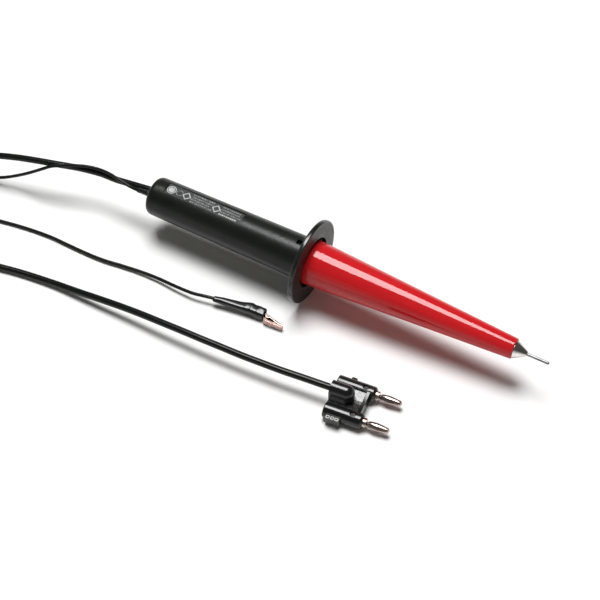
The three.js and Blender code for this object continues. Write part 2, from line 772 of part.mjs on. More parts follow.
function addHandle(group) {
  group.add(part("handle_shell", handleShell(), ...BLACK_PLASTIC));
  group.add(part("label_plate", labelPlate(), 0x2b2e2d, 0.4, 0));
  group.add(part("finger_guard", fingerGuard(), ...BLACK_PLASTIC));
  group.add(part("nose_lock_ring", noseLockRing(), ...BLACK_PLASTIC));
  group.add(part("cable_anchor", cableAnchor(), ...BLACK_PLASTIC));
  group.add(part("shield_tube", shieldTube(), ...STEEL));
  group.add(part("front_board_holder", boardHolder(BOARD_X1 + 0.4, -45, 8.3, 1.7), ...WHITE_PLASTIC));
  group.add(part("rear_board_holder", boardHolder(-107.6, BOARD_X0 - 0.4, 8.3, 2.6), ...WHITE_PLASTIC));
  group.add(part("divider_board", dividerBoard(), ...BOARD));
  const z = BOARD_TOP + 0.1;
  group.add(part("low_side_resistor", rodX(-94, -84, 1.6, -3.4, z + 1.6, 20), ...CERAMIC));
  group.add(part("feedback_resistor", rodX(-94, -87, 1.2, 0.6, z + 1.2, 20), ...CERAMIC));
  group.add(part("bypass_capacitor", rodY(-1.2, 1.2, 3, -77, z + 3, 28), 0xb5742a, 0.5, 0));
  group.add(part("trimmer_body", trimmerBody(), ...WHITE_PLASTIC));
  group.add(part("trimmer_rotor", trimmerRotor(), ...BRASS));
  group.add(part("ground_terminal", groundTerminal(), ...BRASS));
  group.add(part("ground_screw", groundScrew(), ...STEEL));
}

function addNose(group) {
  const [x0, x1] = [RESISTOR_X0, RESISTOR_X1];
  group.add(part("nose_barrel", noseBarrel(), ...RED_PLASTIC));
  group.add(part("tip_cone", tipCone(), ...NICKEL));
  group.add(part("tip_rod", tipRod(), ...STEEL));
  group.add(part("hv_resistor", rodX(x0, x1, RESISTOR_R), ...CERAMIC));
  group.add(part("resistor_cap_front", resistorCap(x1 + GAP, x1 + GAP + CAP_L), ...BRASS));
  group.add(part("resistor_cap_rear", resistorCap(x0 - GAP - CAP_L, x0 - GAP), ...BRASS));
  group.add(part("nose_spacer_front", noseSpacer(60, 64), ...WHITE_PLASTIC));
  group.add(part("nose_spacer_rear", noseSpacer(-4, 0), ...WHITE_PLASTIC));
  const front = x1 + GAP + CAP_L + GAP;
  group.add(part("front_contact_spring", axialSpring(front, TIP_BORE_X + 0.2, 2.2, 0.35, 3.5), ...STEEL));
  const rear = x0 - GAP - CAP_L - GAP;
  group.add(part("rear_contact_spring", axialSpring(-42.3, rear, 2.4, 0.4, 4), ...STEEL));
  group.add(part("contact_stud", contactStud(), ...BRASS));
}

function addLeads(group) {
  group.add(part("coax_lead_out", swept(COAX_OUT, COAX_R, 8, 24), ...BLACK_RUBBER));
  group.add(part("coax_coil", coilSolid(COAX_COIL), ...BLACK_RUBBER));
  group.add(part("coax_coil_tie", tieBand(COAX_COIL, TIE_W, 0), ...BLACK_RUBBER));
  group.add(part("coax_lead_return", swept(COAX_RETURN, COAX_R, 8, 40), ...BLACK_RUBBER));
  group.add(part("ground_sleeve", groundSleeve(), ...BLACK_RUBBER));
  group.add(part("ground_lead_out", swept(LEAD_OUT, LEAD_R, 8, 30), ...BLACK_RUBBER));
  group.add(part("ground_coil", coilSolid(LEAD_COIL), ...BLACK_RUBBER));
  group.add(part("ground_coil_tie", tieBand(LEAD_COIL, TIE_W, 0), ...BLACK_RUBBER));
  group.add(part("ground_lead_return", swept(LEAD_RETURN, LEAD_R, 8, 40), ...BLACK_RUBBER));
}

// A short sleeve that stiffens the ground lead where it leaves the handle.
function groundSleeve() {
  const [y, z] = SLEEVE_EXIT;
  return swept([
    [-116, y, z],
    [-121, y, z],
    [-126, y, z - 0.05],
    [-130, y - 0.1, z - 0.3],
    [SLEEVE_END_X, -3.33, 27.19],
  ], SLEEVE_R, 16, 6);
}

function addPlug(group) {
  const plug = new THREE.Group();
  plug.position.set(PLUG_AT[0], PLUG_AT[1], 0);
  plug.rotation.z = PLUG_TURN;
  plug.add(part("plug_body", plugBody(), ...BLACK_RUBBER));
  [PIN_PITCH / 2, -PIN_PITCH / 2].forEach((y, i) => {
    plug.add(part(`banana_pin_${i + 1}`, bananaPin(y), ...NICKEL));
    plug.add(part(`banana_spring_${i + 1}`, bananaSpring(y), ...NICKEL));
    plug.add(part(`set_screw_${i + 1}`, setScrew(y), ...STEEL));
  });
  group.add(plug);
}

function addClip(group) {
  const clip = new THREE.Group();
  clip.position.set(...CLIP_AT);
  clip.rotation.set(0, CLIP_TILT, CLIP_TURN, "ZYX");
  clip.add(part("clip_fixed_jaw", fixedJaw(), ...NICKEL));
  clip.add(part("clip_moving_jaw", movingJaw(), ...NICKEL));
  clip.add(part("clip_pivot_pin", pivotPin(), ...STEEL));
  clip.add(part("clip_spring", clipSpring(), ...STEEL));
  clip.add(part("clip_boot", clipBoot(), ...BLACK_RUBBER));
  group.add(clip);
}

const probe = new THREE.Group();
addHandle(probe);
addNose(probe);
addLeads(probe);
addPlug(probe);
addClip(probe);

export default probe;
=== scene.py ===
"""A high-voltage divider probe with its coaxial lead and dual banana plug, and its ground lead and clip.

Lengths in this script are millimetres in the part's frame, and mesh_object() and the routes turn them
into metres. The probe's axis lies along X at AXIS_Z, with the tip at +X.
"""

import math

import bmesh
import bpy
from mathutils import Matrix, Vector, noise


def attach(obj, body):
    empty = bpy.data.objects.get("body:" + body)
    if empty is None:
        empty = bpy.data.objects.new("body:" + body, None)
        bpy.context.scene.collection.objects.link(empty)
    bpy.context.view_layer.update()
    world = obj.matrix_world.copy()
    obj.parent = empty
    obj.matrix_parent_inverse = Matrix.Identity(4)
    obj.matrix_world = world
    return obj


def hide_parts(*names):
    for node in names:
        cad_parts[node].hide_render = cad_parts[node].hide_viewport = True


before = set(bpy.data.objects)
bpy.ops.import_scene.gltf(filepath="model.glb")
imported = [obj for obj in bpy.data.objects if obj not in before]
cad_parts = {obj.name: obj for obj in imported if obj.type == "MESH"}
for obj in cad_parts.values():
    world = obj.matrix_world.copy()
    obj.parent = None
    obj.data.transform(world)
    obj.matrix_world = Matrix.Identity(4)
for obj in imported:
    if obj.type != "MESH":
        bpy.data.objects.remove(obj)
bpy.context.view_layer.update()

MM = 0.001
AXIS_Z = 25.0

# ---------------------------------------------------------------- camera

AZIMUTH = math.radians(29.23)
ELEVATION = math.radians(51.5)
LOOK_AT = Vector((-0.02224, -0.00964, 0.0))
DISTANCE = 0.9
LENS = 94.8


def make_camera():
    back = Vector((
        math.sin(AZIMUTH) * math.cos(ELEVATION),
        -math.cos(AZIMUTH) * math.cos(ELEVATION),
        math.sin(ELEVATION),
    ))
    data = bpy.data.cameras.new("camera")
    data.lens = LENS
    data.sensor_width = 36
    camera = bpy.data.objects.new("camera", data)
    camera.location = LOOK_AT + back * DISTANCE
    camera.rotation_euler = (-back).to_track_quat("-Z", "Y").to_euler()
    bpy.context.scene.collection.objects.link(camera)
    bpy.context.scene.camera = camera


make_camera()

# ---------------------------------------------------------------- materials


class Shader:
    """A node material with one Principled shader, and object coordinates in metres."""

    def __init__(self, name, metallic=0.0, ior=1.5):
        self.material = bpy.data.materials.new(name)
        self.material.use_nodes = True
        self.tree = self.material.node_tree
        self.bsdf = self.tree.nodes["Principled BSDF"]
        self.bsdf.inputs["Metallic"].default_value = metallic
        self.bsdf.inputs["IOR"].default_value = ior
        self.place = self.node("ShaderNodeTexCoord").outputs["Object"]
        self.bump = None

    def node(self, kind, **values):
        made = self.tree.nodes.new(kind)
        for key, value in values.items():
            setattr(made, key, value)
        return made

    def link(self, source, target):
        self.tree.links.new(source, target)

    def stretched(self, scale):
        mapping = self.node("ShaderNodeMapping")
        mapping.inputs["Scale"].default_value = scale
        self.link(self.place, mapping.inputs["Vector"])
        return mapping.outputs["Vector"]

    def noise(self, scale, detail=3.0, stretch=None):
        made = self.node("ShaderNodeTexNoise")
        made.inputs["Scale"].default_value = scale
        made.inputs["Detail"].default_value = detail
        self.link(self.stretched(stretch) if stretch else self.place, made.inputs["Vector"])
        return made.outputs["Fac"]

    def cells(self, scale, stretch=None):
        made = self.node("ShaderNodeTexVoronoi")
        made.inputs["Scale"].default_value = scale
        self.link(self.stretched(stretch) if stretch else self.place, made.inputs["Vector"])
        return made.outputs["Distance"]

    def ramp(self, fac, low, high, start=0.35, end=0.65):
        """Mixes two colours, or two numbers, as fac goes from start to end."""
        made = self.node("ShaderNodeMapRange")
        made.inputs["From Min"].default_value = start
        made.inputs["From Max"].default_value = end
        self.link(fac, made.inputs["Value"])
        if not isinstance(low, tuple):
            made.inputs["To Min"].default_value = low
            made.inputs["To Max"].default_value = high
            return made.outputs["Result"]
        mix = self.node("ShaderNodeMix", data_type="RGBA")
        mix.inputs["A"].default_value = (*low, 1)
        mix.inputs["B"].default_value = (*high, 1)
        self.link(made.outputs["Result"], mix.inputs["Factor"])
        return mix.outputs["Result"]

    def colour(self, source):
        self.link(source, self.bsdf.inputs["Base Color"])

    def rough(self, source):
        self.link(source, self.bsdf.inputs["Roughness"])

    def raise_by(self, height, distance):
        """Adds a layer of bump, distance deep in millimetres."""
        made = self.node("ShaderNodeBump")
        made.inputs["Distance"].default_value = distance * MM
        self.link(height, made.inputs["Height"])
        if self.bump:
            self.link(self.bump, made.inputs["Normal"])
        self.bump = made.outputs["Normal"]
        self.link(self.bump, self.bsdf.inputs["Normal"])


def moulded(name, dark, light, rough, grain=2600.0, depth=0.012, patches=60.0, **values):
    """Moulded plastic: two close tints in soft patches, fine grain, and a few long scuffs."""
    s = Shader(name, **values)
    s.colour(s.ramp(s.noise(patches), dark, light))
    low, high = rough
    s.rough(s.ramp(s.noise(patches * 4, 5.0, (0.35, 1, 1)), low, high, 0.3, 0.7))
    s.raise_by(s.noise(grain, 2.0), depth)
    s.raise_by(s.noise(patches * 7, 2.0), depth * 2)
    return s.material


def metal(name, dark, light, rough, brushed=(1, 1, 1), depth=0.004):
    """Plated or turned metal, with marks stretched along the directions where brushed is small."""
    s = Shader(name, metallic=1.0)
    s.colour(s.ramp(s.noise(300.0, 4.0), dark, light))
    low, high = rough
    s.rough(s.ramp(s.noise(900.0, 4.0, brushed), low, high, 0.3, 0.7))
    s.raise_by(s.noise(2600.0, 2.0, brushed), depth)
    return s.material


def red_gloss():
    """Glossy moulded red: faint flow lines along the nose, orange peel, and hairline scuffs."""
    s = Shader("red_gloss", ior=1.38)
    flow = s.noise(240.0, 4.0, (0.06, 1, 1))
    s.colour(s.ramp(flow, (0.50, 0.0105, 0.0145), (0.57, 0.015, 0.019), 0.3, 0.7))
    scuffs = s.noise(1500.0, 3.0, (0.03, 1, 1))
    s.rough(s.ramp(scuffs, 0.07, 0.14, 0.5, 0.8))
    s.raise_by(s.noise(500.0, 2.0), 0.003)
    return s.material


def lead_jacket(name, tint, rough, ior):
    """PVC jacket of a lead: slight ripples round it and fine grain."""
    s = Shader(name, ior=ior)
    s.colour(s.ramp(s.noise(150.0), tint, tuple(1.5 * c for c in tint)))
    s.rough(s.ramp(s.noise(900.0, 4.0), *rough, 0.3, 0.7))
    s.raise_by(s.noise(420.0, 2.0), 0.02)
    s.raise_by(s.noise(3600.0, 2.0), 0.006)
    return s.material


def board_laminate():
    """Green solder resist over paler copper tracks that run along the board."""
    s = Shader("board_laminate", ior=1.52)
    tracks = s.cells(420.0, (0.25, 1, 1))
    s.colour(s.ramp(tracks, (0.012, 0.09, 0.03), (0.05, 0.2, 0.07), 0.08, 0.14))
    s.rough(s.ramp(s.noise(900.0), 0.25, 0.45))
    s.raise_by(tracks, 0.02)
    return s.material


def banded_ceramic():
    """A blue resistor coat with darker rings round it."""
    s = Shader("banded_ceramic")
    s.colour(s.ramp(s.noise(900.0, 4.0), (0.012, 0.075, 0.19), (0.03, 0.13, 0.28)))
    s.rough(s.ramp(s.noise(500.0), 0.3, 0.5))
    s.raise_by(s.noise(700.0, 1.0, (1, 0.02, 0.02)), 0.03)
    return s.material


def grained_web():
    """The plug's coarse-textured upper face, lighter than the rest of the moulding: real grain, with painted
    sheen in its lighter tint.
    """
    s = Shader("plug_grain_painted_sheen", ior=1.6)
    s.colour(s.ramp(s.noise(700.0), (0.014, 0.0145, 0.0145), (0.04, 0.041, 0.041)))
    s.rough(s.ramp(s.noise(1400.0, 4.0), 0.16, 0.32))
    s.raise_by(s.noise(1100.0, 3.0), 0.045)
    return s.material


BLACK = moulded("black_plastic", (0.0055, 0.0075, 0.006), (0.0085, 0.0105, 0.009), (0.27, 0.35), 2000.0, 0.03,
                ior=1.34)
GUARD_BLACK = moulded("guard_black", (0.006, 0.0085, 0.0065), (0.010, 0.0125, 0.0105), (0.38, 0.5), 2200.0,
                      0.02)
# A darker, rougher black: painted shade for the guard's recess and for the latch block seen through its
# window.
SHADE_MATT = moulded("matt_black_painted_shade", (0.002, 0.0025, 0.002), (0.004, 0.0045, 0.004), (0.7, 0.85), ior=1.2)
GLOSS = moulded("black_gloss", (0.006, 0.0065, 0.0065), (0.0095, 0.010, 0.010), (0.13, 0.24), 1600.0, 0.006)
BOOT = moulded("boot_vinyl", (0.007, 0.0085, 0.008), (0.011, 0.0125, 0.012), (0.15, 0.26), 1300.0, 0.008)
RED = red_gloss()
# Pale grey for the tab's raised loops: painted highlight on their edges.
HIGHLIGHT_VINYL = moulded("vinyl_painted_highlight", (0.3, 0.31, 0.3), (0.5, 0.51, 0.5), (0.3, 0.42), 1300.0, 0.008)
COAX_JACKET = lead_jacket("coax_jacket", (0.0045, 0.0055, 0.005), (0.18, 0.28), 1.34)
LEAD_JACKET = lead_jacket("ground_jacket", (0.0045, 0.0055, 0.005), (0.2, 0.3), 1.3)
TIE = moulded("tie_nylon", (0.008, 0.008, 0.009), (0.014, 0.014, 0.015), (0.3, 0.42), 2400.0)
# A darker, redder copy of the nickel: painted shade for the fixed jaw's near side.
SHADED_NICKEL = metal("nickel_painted_shade", (0.32, 0.2, 0.175), (0.45, 0.3, 0.27), (0.2, 0.34), (0.3, 1, 1))
PINK_NICKEL = metal("worn_nickel", (0.42, 0.33, 0.3), (0.56, 0.46, 0.43), (0.16, 0.3), (0.3, 1, 1))
STEEL = metal("steel", (0.62, 0.61, 0.60), (0.78, 0.77, 0.76), (0.12, 0.22), (0.2, 1, 1))
DARK_STEEL = metal("dark_steel", (0.2, 0.2, 0.21), (0.3, 0.3, 0.31), (0.3, 0.42), (0.2, 1, 1))
# Black oxide on the set screws; on the pins' cores the same black is painted shade between the leaves.
OXIDE_AND_SHADE = metal("black_oxide_and_painted_shade", (0.03, 0.03, 0.032), (0.07, 0.07, 0.072), (0.25, 0.4))
TURNED = metal("turned_nickel", (0.66, 0.63, 0.62), (0.82, 0.79, 0.78), (0.1, 0.2), (2, 0.2, 0.2))
BRASS = metal("brass", (0.62, 0.42, 0.16), (0.75, 0.55, 0.25), (0.2, 0.38))
WHITE = moulded("white_plastic", (0.66, 0.65, 0.6), (0.74, 0.73, 0.69), (0.4, 0.55))
COAT = moulded("capacitor_coat", (0.36, 0.13, 0.025), (0.46, 0.18, 0.04), (0.25, 0.4), 900.0, 0.02)
LABEL = moulded("label_film", (0.02, 0.0225, 0.0225), (0.03, 0.033, 0.033), (0.3, 0.42), 3000.0, 0.006)
INK = moulded("pale_ink", (0.34, 0.355, 0.35), (0.5, 0.52, 0.51), (0.5, 0.65), 3400.0, 0.006, 900.0)
DULL_INK = moulded("dull_ink", (0.07, 0.075, 0.073), (0.26, 0.27, 0.265), (0.5, 0.65), 3400.0, 0.006, 900.0)
CERAMIC = banded_ceramic()
BOARD = board_laminate()
WEB_GRAIN_SHEEN = grained_web()

# ---------------------------------------------------------------- mesh helpers


def mesh_object(name, verts, faces, materials, place=None, smooth=35.0):
    """A closed mesh from points in millimetres, moved by place, with edges sharper than smooth kept crisp."""
    points = [Vector(v) for v in verts]
    if place:
        points = [place @ p for p in points]
    mesh = bpy.data.meshes.new(name)
    mesh.from_pydata([p * MM for p in points], [], faces)
    return finished(name, mesh, materials, smooth)


def finished(name, mesh, materials, smooth=35.0):
    work = bmesh.new()
    work.from_mesh(mesh)
    bmesh.ops.remove_doubles(work, verts=work.verts, dist=1e-7)
    bmesh.ops.recalc_face_normals(work, faces=work.faces)
    work.to_mesh(mesh)
    work.free()
    mesh.shade_smooth()
    mesh.set_sharp_from_angle(angle=math.radians(smooth))
    for m in materials if isinstance(materials, (list, tuple)) else [materials]:
        mesh.materials.append(m)
    obj = bpy.data.objects.new(name, mesh)
    bpy.context.scene.collection.objects.link(obj)
    return obj


def baked(obj):
    """Makes the object's modifiers part of its mesh."""
    bpy.context.view_layer.update()
    graph = bpy.context.evaluated_depsgraph_get()
    mesh = bpy.data.meshes.new_from_object(obj.evaluated_get(graph))
    obj.modifiers.clear()
    obj.data = mesh
    return mesh


def applied(obj, smooth=35.0):
    mesh = baked(obj)
    mesh.shade_smooth()
    mesh.set_sharp_from_angle(angle=math.radians(smooth))
    return obj


def combine(obj, tools, operation, smooth=35.0):
    """Joins the tools to obj, or cuts them out of it, one by one."""
    for tool in tools:
        step = obj.modifiers.new("combine", "BOOLEAN")
        step.operation = operation
        step.solver = "MANIFOLD"
        step.object = tool
        applied(obj, smooth)
        bpy.data.objects.remove(tool)
    return obj


def bevelled(obj, width, segments=3, smooth=35.0, angle=30.0):
    step = obj.modifiers.new("bevel", "BEVEL")
    step.width = width * MM
    step.segments = segments
    step.limit_method = "ANGLE"
    step.angle_limit = math.radians(angle)
    return applied(obj, smooth)


def softened(points, closed=False, steps=4):
    """A line of (u, v) or (u, v, radius) points, with its corners turned into arcs of those radii."""
    line = []
    count = len(points)
    for i, point in enumerate(points):
        at = Vector(point[:2])
        radius = point[2] if len(point) > 2 else 0
        if radius == 0 or (not closed and i in (0, count - 1)):
            line.append(tuple(at))
            continue
        a = Vector(points[i - 1][:2]) - at
        b = Vector(points[(i + 1) % count][:2]) - at
        reach = min(radius / math.tan(a.angle(b) / 2), 0.48 * a.length, 0.48 * b.length)
        p, q = at + a.normalized() * reach, at + b.normalized() * reach
        for k in range(steps + 1):
            t = k / steps
            line.append(tuple(p * (1 - t) ** 2 + at * 2 * t * (1 - t) + q * t * t))
    return line


def turned(profile, segments=96, y=0.0, z=AXIS_Z, closed=False):
    """Points and faces of a solid of revolution about the line through (y, z) along X."""
    line = softened(profile, closed)
    verts, faces, rows = [], [], []
    for x, r in line:
        if r < 1e-6:
            rows.append([len(verts)] * segments)
            verts.append((x, y, z))
            continue
        rows.append([len(verts) + k for k in range(segments)])
        for k in range(segments):
            a = 2 * math.pi * k / segments
            verts.append((x, y + r * math.cos(a), z + r * math.sin(a)))
    pairs = list(zip(rows, rows[1:]))
    if closed:
        pairs.append((rows[-1], rows[0]))
    for p, q in pairs:
        for k in range(segments):
            n = (k + 1) % segments
            face = list(dict.fromkeys((p[k], p[n], q[n], q[k])))
            if len(face) > 2:
                faces.append(face)
    return verts, faces


def prism(outline, z0, z1):
    """Points and faces of a flat outline raised from z0 to z1."""
    n = len(outline)
    verts = [(x, y, z) for z in (z0, z1) for x, y in outline]
    faces = [list(range(n))[::-1], list(range(n, 2 * n))]
    faces += [(k, (k + 1) % n, n + (k + 1) % n, n + k) for k in range(n)]
    return verts, faces


def bar(outline, x0, x1):
    """Points and faces of an outline in Y and Z, drawn out from x0 to x1."""
    verts, faces = prism(outline, x0, x1)
    return [(x, y, z) for y, z, x in verts], faces


def hoop(outer, inner, z0, z1):
    """Points and faces of a raised frame between two outlines with as many points each."""
    n = len(outer)
    verts = [(x, y, z) for z in (z0, z1) for line in (outer, inner) for x, y in line]
    faces = []
    for k in range(n):
        m = (k + 1) % n
        faces += [
            (k, m, n + m, n + k),
            (2 * n + k, 3 * n + k, 3 * n + m, 2 * n + m),
            (k, 2 * n + k, 2 * n + m, m),
            (n + k, n + m, 3 * n + m, 3 * n + k),
        ]
    return verts, faces


def box_outline(x0, x1, y0, y1, r=0.0, steps=4):
    return softened([(x0, y0, r), (x1, y0, r), (x1, y1, r), (x0, y1, r)], True, steps)


def circle(x, y, r, count=32):
    return [(x + r * math.cos(2 * math.pi * k / count), y + r * math.sin(2 * math.pi * k / count))
            for k in range(count)]


def merged(shapes):
    """Several (points, faces) as one."""
    verts, faces = [], []
    for more, sides in shapes:
        faces += [[i + len(verts) for i in side] for side in sides]
        verts += more
    return verts, faces


def tool(shape, place=None):
    return mesh_object("tool", *shape, [BLACK], place)


def evened(obj):
    """Makes the normals follow the larger faces, so that long faces don't shade towards their edges."""
    step = obj.modifiers.new("even", "WEIGHTED_NORMAL")
    step.keep_sharp = True
    step.weight = 80
    baked(obj)


def show(obj, body, slot, *nodes):
    """Puts a finished piece on its body, for the CAD nodes that it stands for."""
    if obj.type == "MESH":
        evened(obj)
    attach(obj, body)
    if nodes:
        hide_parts(*nodes)
    return obj


# ---------------------------------------------------------------- leads

COAX_R = 2.0
LEAD_R = 1.0
COAX_OUT = [
    (-116, 1.6, 26.2), (-124, 1.6, 26.2), (-132, 0.9, 25.9), (-141, 0.1, 25.3), (-150, -0.8, 24.9),
    (-161, -1.2, 24.8), (-174, -3.6, 24.8), (-187, -7.2, 24.7), (-200, -10.4, 24.2), (-213, -13.6, 23.2),
    (-226, -17, 21.2), (-239, -21, 18), (-251, -25.6, 14), (-262, -30.4, 10), (-270, -34, 7.5),
    (-276.8, -36, 6.4),
]
COAX_RETURN = [
    (-276.8, -88, 2.15), (-266, -87.4, 2.1), (-254, -86, 2.1), (-240, -84.2, 2.1), (-225, -82, 2.1),
    (-209, -79.2, 2.1), (-191, -75.8, 2.1), (-172, -72.2, 2.2), (-151, -69.8, 2.8), (-132, -69.2, 4.8),
    (-118, -68.8, 6.6), (-105, -68.4, 8), (-92, -68.2, 9.2), (-78, -68.2, 10.2), (-65, -68, 10.8),
    (-52, -67.8, 11.2), (-40, -67.4, 11.4), (-27, -66.9, 11.5), (-15, -66.1, 11.6), (-3, -65.2, 11.7),
    (8, -64, 11.8), (18, -62.97, 11.9), (26, -62.1, 11.9), (31, -61.56, 11.9),
]
LEAD_OUT = [
    (-130, -3.2, 27.6), (-133.8, -3.34, 27.16), (-138, -3, 26.85), (-143, -2.77, 27.3),
    (-149, -2.08, 27.92), (-155, -1.29, 28.14), (-162, -1.4, 28.14), (-169, -2.84, 28.09),
    (-176, -5.46, 27.81), (-183, -8.64, 27), (-189, -11.26, 25.78), (-194.5, -13.3, 22.6),
    (-200, -14.6, 18.8), (-208, -16.3, 13.6), (-216, -17.8, 9), (-223, -19, 5.6), (-229, -19.8, 3.8),
    (-234.8, -20.1, 3.2),
]
LEAD_RETURN = [
    (-234.8, -47.9, 1.1), (-226, -47.6, 1.1), (-216, -46.5, 1.1), (-206, -44.9, 1.1), (-196, -43.1, 1.1),
    (-184, -41.5, 1.1), (-172, -40.7, 1.2), (-160, -40.9, 1.3), (-148, -41.1, 1.4), (-136, -40.7, 1.6),
    (-124, -39.1, 1.8), (-112, -37.8, 2.1), (-100, -37.5, 2.8), (-88, -38.2, 3.7), (-76, -38.3, 4.6),
    (-69.5, -37.2, 5.0), (-63.35, -35.98, 5.09), (-58.43, -35.11, 4.76),
]
SHIFT_FROM, SHIFT_TO = 0.0, 60.0  # where round a coil its turns move in or out by one diameter
SINK_FROM, SINK_TO = 60.0, 120.0  # where the upper layer goes down into the lower one
FIRST_ANGLE, LAST_ANGLE = 90.0, 270.0
TURN_STEP = 10.0


def eased(value, start, end):
    t = min(1.0, max(0.0, (value - start) / (end - start)))
    return t * t * (3 - 2 * t)


def coil_turns(x, y, radii, low, high, tie_angle, lift):
    """Two layers of turns: in along the upper layer from the outermost radius, out along the lower one.

    The turns rise by lift over the tie's lower side.
    """
    layer = len(radii) - 1
    sink = 360.0 * (layer + 1)
    last = 360.0 * (2 * layer + 1) + LAST_ANGLE
    points = []
    steps = round((last - FIRST_ANGLE) / TURN_STEP)
    for i in range(steps + 1):
        angle = FIRST_ANGLE + TURN_STEP * i
        r = radii[0]
        for k in range(layer):
            step = radii[k] - radii[k + 1]
            turn_in = 360.0 * (k + 1)
            turn_out = sink + 360.0 * (layer - k)
            r -= step * eased(angle, turn_in + SHIFT_FROM, turn_in + SHIFT_TO)
            r += step * eased(angle, turn_out + SHIFT_FROM, turn_out + SHIFT_TO)
        z = high + (low - high) * eased(angle, sink + SINK_FROM, sink + SINK_TO)
        away = math.radians((angle - tie_angle + 180) % 360 - 180) * r
        z += lift * math.exp(-((away / 5.5) ** 2))
        a = math.radians(angle)
        points.append((x + r * math.cos(a), y + r * math.sin(a), z))
    return points


def spline(points, step):
    """A centripetal Catmull-Rom line through the points, as points about step apart."""
    p = [Vector(q) for q in points]
    p = [2 * p[0] - p[1], *p, 2 * p[-1] - p[-2]]
    line = []
    for a, b, c, d in zip(p, p[1:], p[2:], p[3:]):
        t1 = math.sqrt((b - a).length)
        t2 = t1 + math.sqrt((c - b).length)
        t3 = t2 + math.sqrt((d - c).length)
        count = max(2, round((c - b).length / step))
        for i in range(count):
            t = t1 + (t2 - t1) * i / count
            u = a * ((t1 - t) / t1) + b * (t / t1)
            v = b * ((t2 - t) / (t2 - t1)) + c * ((t - t1) / (t2 - t1))
            w = c * ((t3 - t) / (t3 - t2)) + d * ((t - t2) / (t3 - t2))
            g = u * ((t2 - t) / t2) + v * (t / t2)
            h = v * ((t3 - t) / (t3 - t1)) + w * ((t - t1) / (t3 - t1))
            line.append(g * ((t2 - t) / (t2 - t1)) + h * ((t - t1) / (t2 - t1)))
    line.append(Vector(points[-1]))
    return line


def cord_curve(name, line, radius, material):
    data = bpy.data.curves.new(name, "CURVE")
    data.dimensions = "3D"
    data.bevel_depth = radius * MM
    data.bevel_resolution = 4
    data.use_fill_caps = True
    path = data.splines.new("POLY")
    path.points.add(len(line) - 1)
    for point, at in zip(path.points, line):
        point.co = (*(at * MM), 1)
    path.use_smooth = True
    data.materials.append(material)
    obj = bpy.data.objects.new(name, data)
    bpy.context.scene.collection.objects.link(obj)
    return obj


COAX_COIL = (-292, -62, (26.1, 22.0, 17.9), 2.05, 6.15, 270.0, 0.45)
LEAD_COIL = (-243, -34, (13.9, 11.9, 9.95, 7.95), 1.05, 3.1, 90.0, 0.3)

coax_line = spline([*COAX_OUT, *coil_turns(*COAX_COIL), *COAX_RETURN], 2.0)
lead_line = spline([*LEAD_OUT, *coil_turns(*LEAD_COIL), *LEAD_RETURN], 1.2)
coax_cord = cord_curve("coax_cord", coax_line, COAX_R, COAX_JACKET)
ground_cord = cord_curve("ground_cord", lead_line, LEAD_R, LEAD_JACKET)
show(coax_cord, "probe", "black_pvc", "coax_lead_out", "coax_coil", "coax_lead_return")
show(ground_cord, "probe", "black_pvc", "ground_lead_out", "ground_coil", "ground_lead_return")

# ---------------------------------------------------------------- coil ties

STRAP, STRAP_HALF, STRAP_LOW = 0.55, 2.4, 0.05  # thickness, half the width, and height above the floor
LOCK_HALF, LOCK_OUT = 2.9, 1.2

def coil_tie(name, coil, inner, outer, height, node):
    """A strap round the coil's section, with a small square lock on its outer side."""
    x, y, _, _, _, angle, _ = coil
    side = 1 if angle == 90.0 else -1
    y0, y1 = sorted((y + side * (inner - STRAP), y + side * (outer + STRAP)))
    section = box_outline(y0, y1, STRAP_LOW, height + STRAP, 1.2)
    hole = box_outline(y0 + STRAP, y1 - STRAP, STRAP_LOW + STRAP, height, 0.9)
    verts, faces = hoop(section, hole, x - STRAP_HALF, x + STRAP_HALF)
    strap = [(w, u, v) for u, v, w in verts]
    end = y + side * (outer + STRAP)
    out0, out1 = sorted((end, end + LOCK_OUT * side))
    lock = prism(box_outline(x - LOCK_HALF, x + LOCK_HALF, out0, out1, 0.4), 1.2, 4.6)
    obj = mesh_object(name, *merged([(strap, faces), lock]), TIE)
    return show(bevelled(obj, 0.12, 2), "probe", "black_plastic", node)


coax_tie = coil_tie("coax_tie", COAX_COIL, 15.6, 28.4, 8.75, "coax_coil_tie")
ground_tie = coil_tie("ground_tie", LEAD_COIL, 6.75, 15.1, 4.5, "ground_coil_tie")

# ---------------------------------------------------------------- handle

REAR_X = -124.5
HANDLE_FRONT_X = -22.3
LABEL_X0, LABEL_X1, LABEL_HALF = -115.3, -64.8, 4.4
LABEL_FLOOR = AXIS_Z + 10.45
LATCH_X, LATCH_L, LATCH_W = -27.9, 3.4, 3.2
SLEEVE_R = 1.8
SLEEVE_BORE_R = 1.06
COAX_EXIT = (1.6, 26.2)
SLEEVE_EXIT = (-3.1, 27.9)


def handle():
    def pocket(x0, x1, half, r, floor):
        return tool(prism(box_outline(x0, x1, -half, half, r), floor, 45))

    def rear_hole(r, at):
        return tool(turned([(-126, 0), (-126, r), (-121, r), (-121, 0)], 32, *at))

    shell = mesh_object("handle_body", *turned([
        (REAR_X, 0), (REAR_X, 11.45, 3.4), (HANDLE_FRONT_X, 12.5, 0.5), (HANDLE_FRONT_X, 10.6),
        (REAR_X + 2.2, 9.3), (REAR_X + 2.2, 0),
    ], 128), BLACK)
    cutters = [
        pocket(LABEL_X0, LABEL_X1, LABEL_HALF, 0.5, LABEL_FLOOR),
        pocket(LATCH_X - LATCH_L / 2, LATCH_X + LATCH_L / 2, LATCH_W / 2, 0.4, 33),
        rear_hole(COAX_R + 0.35, COAX_EXIT),
        rear_hole(SLEEVE_R + 0.35, SLEEVE_EXIT),
    ]
    show(combine(shell, cutters, "DIFFERENCE"), "probe", "black_plastic", "handle_shell")


